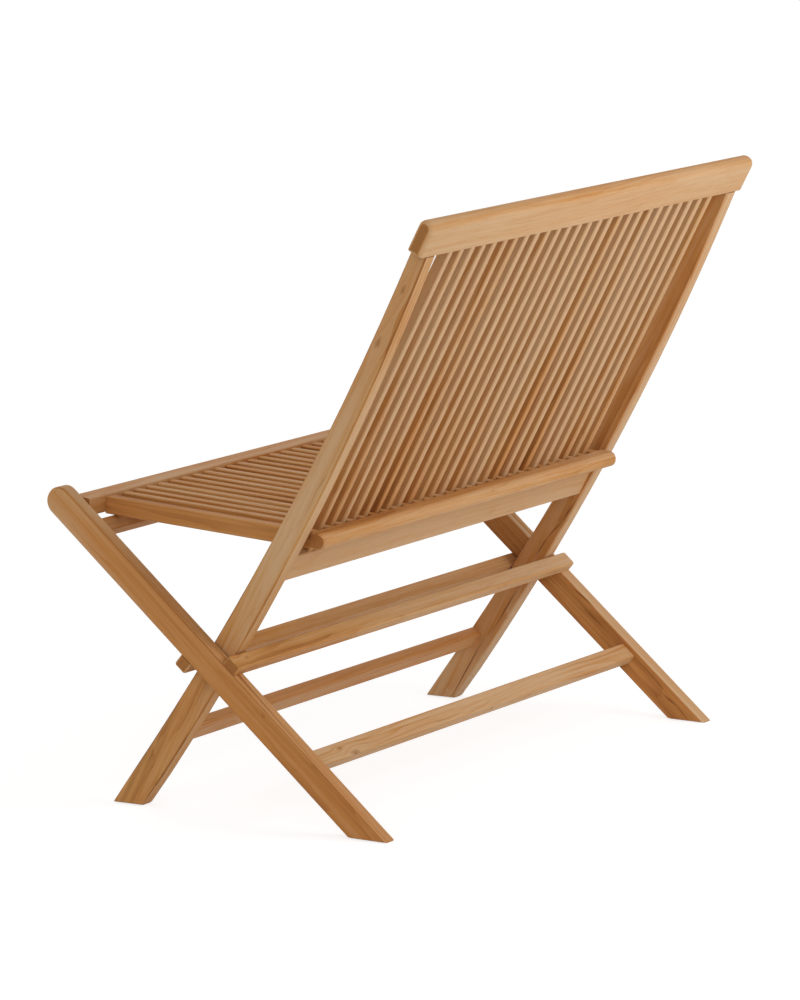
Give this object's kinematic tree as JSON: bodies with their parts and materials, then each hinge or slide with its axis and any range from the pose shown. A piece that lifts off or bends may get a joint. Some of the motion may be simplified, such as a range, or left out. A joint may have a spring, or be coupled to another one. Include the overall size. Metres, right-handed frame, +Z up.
{
  "type": "folding bench",
  "caption": "Folding slatted teak bench: scissor-crossed leg and back frames, a leaning slatted back, and a slatted seat that passes between the back slats as the bench folds.",
  "frame": {"origin": "on the floor under the middle of the bounding box", "axes": "+X along the width (to the sitter's left), -Y the way the bench faces, +Z up"},
  "size_m": [0.96, 0.6614, 0.8947],
  "materials": {
    "legs": "oiled teak, satin",
    "rails": "oiled teak, satin",
    "slats": "oiled teak, satin",
    "dowels": "plain hardwood",
    "fittings": "plain steel"
  },
  "bodies": {
    "back_frame": {"back_slat_01": "slats", "back_slat_02": "slats", "back_slat_03": "slats", "back_slat_04": "slats", "back_slat_05": "slats", "back_slat_06": "slats", "back_slat_07": "slats", "back_slat_08": "slats", "back_slat_09": "slats", "back_slat_10": "slats", "back_slat_11": "slats", "back_slat_12": "slats", "back_slat_13": "slats", "back_slat_14": "slats", "back_slat_15": "slats", "back_slat_16": "slats", "back_slat_17": "slats", "back_slat_18": "slats", "back_slat_19": "slats", "back_slat_20": "slats", "back_slat_21": "slats", "back_slat_22": "slats", "back_slat_23": "slats", "back_slat_24": "slats", "back_slat_25": "slats", "back_slat_26": "slats", "back_stile_left": "legs", "back_stile_right": "legs", "crossing_pins": "fittings", "crossing_washers": "fittings", "front_stretcher": "rails", "lower_back_rail": "rails", "top_rail": "rails"},
    "leg_frame": {"rear_leg_right": "legs", "rear_leg_left": "legs", "rear_stop_rail": "rails", "front_stop_rail": "rails", "stop_rail_dowels": "dowels", "rear_stretcher": "rails", "seat_rest_rail": "rails"},
    "seat": {"seat_front_rail": "rails", "seat_pins": "fittings", "seat_rear_rail": "rails", "seat_side_rail_left": "rails", "seat_side_rail_right": "rails", "seat_slats_01": "slats", "seat_slats_02": "slats", "seat_slats_03": "slats", "seat_slats_04": "slats", "seat_slats_05": "slats", "seat_slats_06": "slats", "seat_slats_07": "slats", "seat_slats_08": "slats", "seat_slats_09": "slats", "seat_slats_10": "slats", "seat_slats_11": "slats", "seat_slats_12": "slats", "seat_slats_13": "slats"}
  },
  "joints": [
    {"name": "fold", "type": "hinge", "parent": "back_frame", "child": "leg_frame", "pos_m": [0, -0.05219, 0.23], "axis": [-1, 0, 0], "range_deg": [0, 72]},
    {"name": "seat_pivot", "type": "hinge", "parent": "leg_frame", "child": "seat", "pos_m": [0, -0.29472, 0.43568], "axis": [1, 0, 0], "range_deg": [0, 114.48]}
  ],
  "couplings": [
    {"joint": "seat_pivot", "follows": "fold", "ratio": 1.59}
  ]
}
